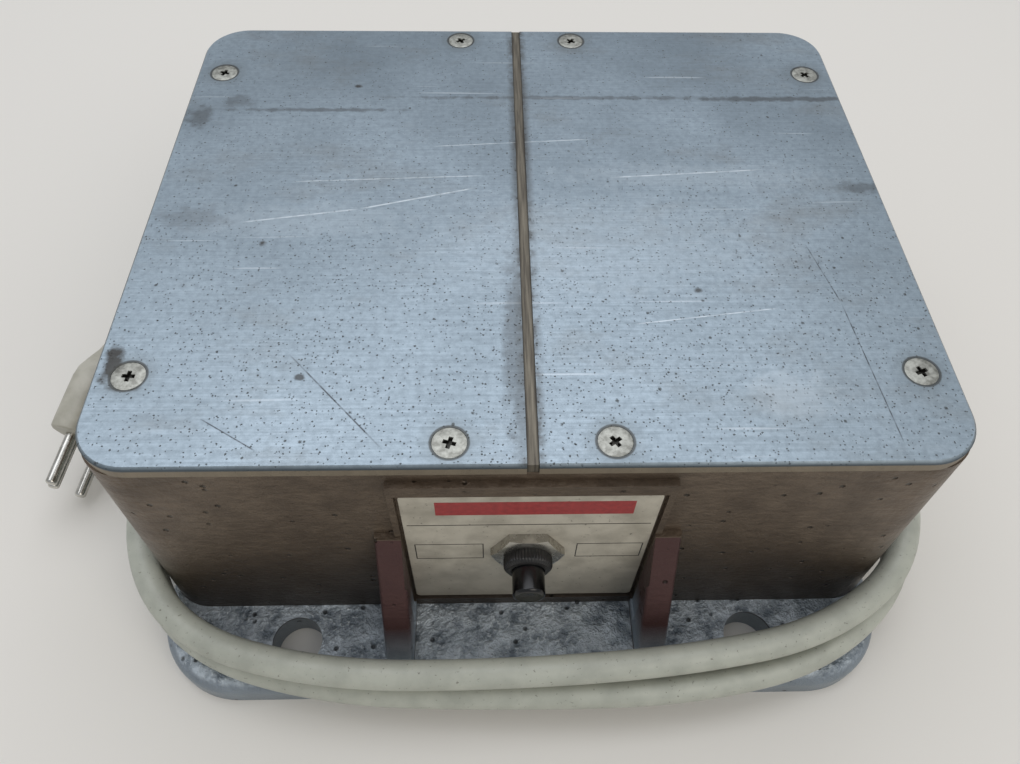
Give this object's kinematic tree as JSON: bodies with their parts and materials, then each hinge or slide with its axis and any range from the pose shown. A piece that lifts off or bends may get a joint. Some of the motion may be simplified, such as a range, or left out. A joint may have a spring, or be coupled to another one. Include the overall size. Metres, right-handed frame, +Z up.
{
  "type": "bench demagnetiser",
  "caption": "Bench demagnetiser: a low cast box with flange and ribs, flat steel pole plates on top, a push button in front, a mains cord wound round it and a flat plug.",
  "frame": {"origin": "centre of the footprint of the casting on its flange's underside, the face it stands on", "axes": "+X to the right seen from the button's side, +Y to the back where the cord leaves, +Z up"},
  "size_m": [0.3077, 0.3431, 0.1],
  "materials": {
    "casting": "as cast, dull brown-grey, worn bright on the flange",
    "plate_steel": "ground, blue-grey, fine pits and scratches",
    "gap_metal": "dull brown-grey",
    "screw_steel": "zinc plated, dirty recesses",
    "rating_sheet": "cream paint, rubbed",
    "black_plastic": "moulded",
    "nut_steel": "nickel plated",
    "ring_black": "fine knurl",
    "button_black": "polished",
    "spring_steel": "drawn wire",
    "contact_brass": "plain",
    "core_steel": "varnished lamination stack",
    "bobbin_plastic": "moulded",
    "copper": "enamelled winding",
    "coil_tape": "varnished cotton tape",
    "clamp_steel": "grey primer",
    "terminal_plastic": "moulded",
    "wire_brown": "extruded",
    "wire_blue": "extruded",
    "wire_green": "extruded",
    "black_rubber": "moulded",
    "cover_steel": "grey paint",
    "gland_plastic": "moulded",
    "cord_grey": "smooth extruded sheath with scuffs",
    "plug_grey": "moulded, slightly worn",
    "pin_metal": "bright plated"
  },
  "bodies": {
    "housing": {"cast_housing": "casting", "pole_plate_left": "plate_steel", "pole_plate_right": "plate_steel", "gap_strip": "gap_metal", "plate_screws": "screw_steel", "rating_plate": "rating_sheet", "switch_body": "black_plastic", "switch_hex_nut": "nut_steel", "switch_ring_nut": "ring_black", "fixed_contact_left": "contact_brass", "fixed_contact_right": "contact_brass", "core_yoke": "core_steel", "core_leg_left": "core_steel", "core_leg_right": "core_steel", "bobbin_left": "bobbin_plastic", "bobbin_right": "bobbin_plastic", "winding_left": "copper", "winding_right": "copper", "coil_tape_left": "coil_tape", "coil_tape_right": "coil_tape", "core_clamp_front": "clamp_steel", "core_clamp_back": "clamp_steel", "core_bolts": "screw_steel", "core_nuts": "screw_steel", "clamp_bolts": "screw_steel", "clamp_nuts": "screw_steel", "support_bar_front": "clamp_steel", "support_bar_back": "clamp_steel", "support_bar_bolts": "screw_steel", "thermal_cutout": "black_plastic", "terminal_block": "terminal_plastic", "terminal_screws": "contact_brass", "terminal_block_screws": "screw_steel", "earth_lug": "contact_brass", "earth_screw": "contact_brass", "wire_live_in": "wire_brown", "wire_neutral_in": "wire_blue", "wire_earth": "wire_green", "wire_to_switch": "wire_brown", "wire_to_cutout": "wire_brown", "wire_cutout_to_coil": "wire_brown", "wire_coil_link": "wire_blue", "wire_coil_return": "wire_blue", "bottom_gasket": "black_rubber", "bottom_cover": "cover_steel", "bottom_screws": "screw_steel", "gland_body": "gland_plastic", "gland_locknut": "gland_plastic", "gland_seal": "black_rubber", "gland_cap": "gland_plastic", "cord_in_gland": "cord_grey", "cord_relief": "cord_grey", "cord": "cord_grey", "plug_body": "plug_grey", "plug_relief": "plug_grey", "plug_pins": "pin_metal"},
    "button": {"button_plunger": "button_black", "button_spring": "spring_steel", "moving_contact": "contact_brass"}
  },
  "joints": [
    {"name": "button_press", "type": "slide", "parent": "housing", "child": "button", "axis": [0, 1, 0], "range_m": [0, 0.0035], "stiffness_N_per_m": 600, "springref_m": -0.002}
  ]
}
